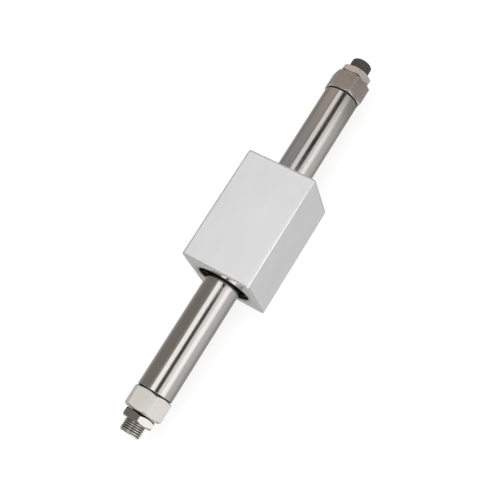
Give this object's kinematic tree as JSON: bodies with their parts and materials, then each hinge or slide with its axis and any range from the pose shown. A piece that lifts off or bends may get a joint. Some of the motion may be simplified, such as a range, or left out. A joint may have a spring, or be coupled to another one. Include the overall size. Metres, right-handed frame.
{
  "type": "rodless pneumatic cylinder",
  "caption": "Magnetically coupled rodless air cylinder: a square slider on a closed round tube, a free piston inside, hexagonal head covers with threaded noses and nuts.",
  "frame": {"origin": "on the tube's axis, at its middle", "axes": "+X along the tube to the front head cover, +Z out of the slider's plain top, -Z out of its mounting face"},
  "size_m": [0.203, 0.035, 0.035],
  "materials": {
    "polished_stainless": "polished, faint lengthwise grain",
    "anodised_body": "satin clear anodised",
    "machined_aluminium": "turned and milled, clear",
    "plated_nut": "bright plated, turned faces",
    "bright_steel": "ground",
    "yoke_steel": "plain rolled",
    "magnet_alloy": "nickel plated",
    "black_steel": "black oxide spring steel",
    "black_anodised": "black anodised",
    "black_rubber": "moulded nitrile",
    "grey_urethane": "moulded urethane",
    "dark_resin": "filled resin",
    "tan_resin": "filled resin",
    "oiled_felt": "oiled felt"
  },
  "bodies": {
    "cylinder": {"cylinder_tube": "polished_stainless", "rear_head_cover": "machined_aluminium", "rear_mounting_nut": "plated_nut", "rear_tube_gasket": "black_rubber", "rear_bumper": "grey_urethane", "front_head_cover": "machined_aluminium", "front_mounting_nut": "plated_nut", "front_tube_gasket": "black_rubber", "front_bumper": "grey_urethane"},
    "slider": {"slider_body": "anodised_body", "slider_magnet_1": "magnet_alloy", "slider_magnet_2": "magnet_alloy", "slider_magnet_3": "magnet_alloy", "slider_magnet_4": "magnet_alloy", "slider_yoke_1": "yoke_steel", "slider_yoke_2": "yoke_steel", "slider_yoke_3": "yoke_steel", "slider_yoke_4": "yoke_steel", "slider_yoke_5": "yoke_steel", "rear_spacer": "yoke_steel", "rear_attachment_ring": "black_anodised", "rear_slider_wear_ring": "tan_resin", "rear_lube_retainer": "oiled_felt", "rear_scraper": "black_rubber", "rear_retaining_ring": "black_steel", "front_spacer": "yoke_steel", "front_attachment_ring": "black_anodised", "front_slider_wear_ring": "tan_resin", "front_lube_retainer": "oiled_felt", "front_scraper": "black_rubber", "front_retaining_ring": "black_steel"},
    "piston": {"piston_shaft": "bright_steel", "piston_magnet_1": "magnet_alloy", "piston_magnet_2": "magnet_alloy", "piston_magnet_3": "magnet_alloy", "piston_magnet_4": "magnet_alloy", "piston_yoke_1": "yoke_steel", "piston_yoke_2": "yoke_steel", "piston_yoke_3": "yoke_steel", "piston_yoke_4": "yoke_steel", "piston_yoke_5": "yoke_steel", "rear_piston": "machined_aluminium", "rear_piston_seal": "black_rubber", "rear_piston_wear_ring": "dark_resin", "rear_spring_pin": "bright_steel", "front_piston": "machined_aluminium", "front_piston_seal": "black_rubber", "front_piston_wear_ring": "dark_resin", "front_spring_pin": "bright_steel"}
  },
  "joints": [
    {"name": "slider_slide", "type": "slide", "parent": "cylinder", "child": "slider", "axis": [1, 0, 0], "range_m": [-0.054, 0.046]},
    {"name": "piston_slide", "type": "slide", "parent": "cylinder", "child": "piston", "axis": [1, 0, 0], "range_m": [-0.054, 0.046]}
  ],
  "couplings": [
    {"joint": "piston_slide", "follows": "slider_slide", "ratio": 1}
  ]
}
